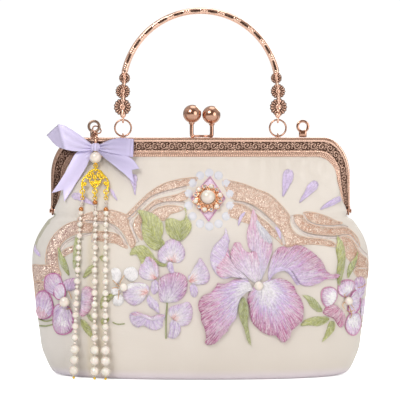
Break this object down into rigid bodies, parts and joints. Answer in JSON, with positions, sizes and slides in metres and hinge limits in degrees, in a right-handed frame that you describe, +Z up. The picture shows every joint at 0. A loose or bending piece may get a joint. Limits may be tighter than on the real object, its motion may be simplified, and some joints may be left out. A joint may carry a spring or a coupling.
{
  "type": "embroidered kiss-lock purse",
  "caption": "Satin purse with an oval base, closed metal kiss-lock frame, swinging arch handle on rings, and a hanging bow charm with strings of pearls.",
  "frame": {"origin": "middle of the flat oval base, on the surface it stands on", "axes": "+X to the wearer's side that holds no charm, +Z up towards the handle, front with the charm towards -Y"},
  "size_m": [0.2324, 0.0815, 0.2517],
  "materials": {
    "satin": "cream silk satin, soft sheen",
    "rose_gold": "polished rose gold plate",
    "bronze": "darker bronze plate",
    "yellow_gold": "polished yellow gold plate",
    "ribbon": "lilac satin ribbon",
    "string": "small imitation pearls on thread",
    "pearl": "pearl lacquer"
  },
  "bodies": {
    "purse": {"bag_body": "satin", "bow_knot": "ribbon", "bow_loop_left": "ribbon", "bow_loop_right": "ribbon", "bow_tail_left": "ribbon", "bow_tail_right": "ribbon", "brooch_pearl": "pearl", "brooch_setting": "yellow_gold", "charm_clasp": "rose_gold", "charm_connector": "yellow_gold", "charm_pearl": "pearl", "charm_pin": "yellow_gold", "charm_ring": "rose_gold", "clasp_back": "rose_gold", "clasp_front": "rose_gold", "frame_back": "rose_gold", "frame_front": "rose_gold", "hinge_rivet_left": "rose_gold", "hinge_rivet_right": "rose_gold", "pearl_centre_1": "pearl", "pearl_centre_2": "pearl", "pearl_centre_3": "pearl", "pearl_centre_4": "pearl", "pearl_centre_5": "pearl", "pearl_centre_6": "pearl", "pearl_centre_7": "pearl", "pearl_left_1": "pearl", "pearl_left_2": "pearl", "pearl_left_3": "pearl", "pearl_left_4": "pearl", "pearl_left_5": "pearl", "pearl_left_6": "pearl", "pearl_left_7": "pearl", "pearl_left_flower": "pearl", "pearl_orchid": "pearl", "pearl_right_1": "pearl", "pearl_right_2": "pearl", "pearl_right_3": "pearl", "pearl_right_4": "pearl", "pearl_right_5": "pearl", "pearl_right_6": "pearl", "pearl_right_7": "pearl", "pearl_right_flower": "pearl", "pearl_string_centre": "string", "pearl_string_left": "string", "pearl_string_right": "string", "pearl_white_flower": "pearl", "strap_lug_left": "bronze", "strap_lug_right": "rose_gold", "string_ring_centre": "yellow_gold", "string_ring_left": "yellow_gold", "string_ring_right": "yellow_gold"},
    "rings": {"ring_left": "rose_gold", "ring_right": "rose_gold"},
    "handle": {"handle_arch": "rose_gold", "handle_end_left": "rose_gold", "handle_end_right": "rose_gold"}
  },
  "joints": [
    {"name": "ring_swing", "type": "hinge", "parent": "purse", "child": "rings", "pos_m": [0, -0.00305, 0.16395], "axis": [-1, 0, 0], "range_deg": [-60, 85]},
    {"name": "handle_swing", "type": "hinge", "parent": "rings", "child": "handle", "pos_m": [0, -0.00305, 0.17515], "axis": [-1, 0, 0], "range_deg": [-15, 65]}
  ]
}
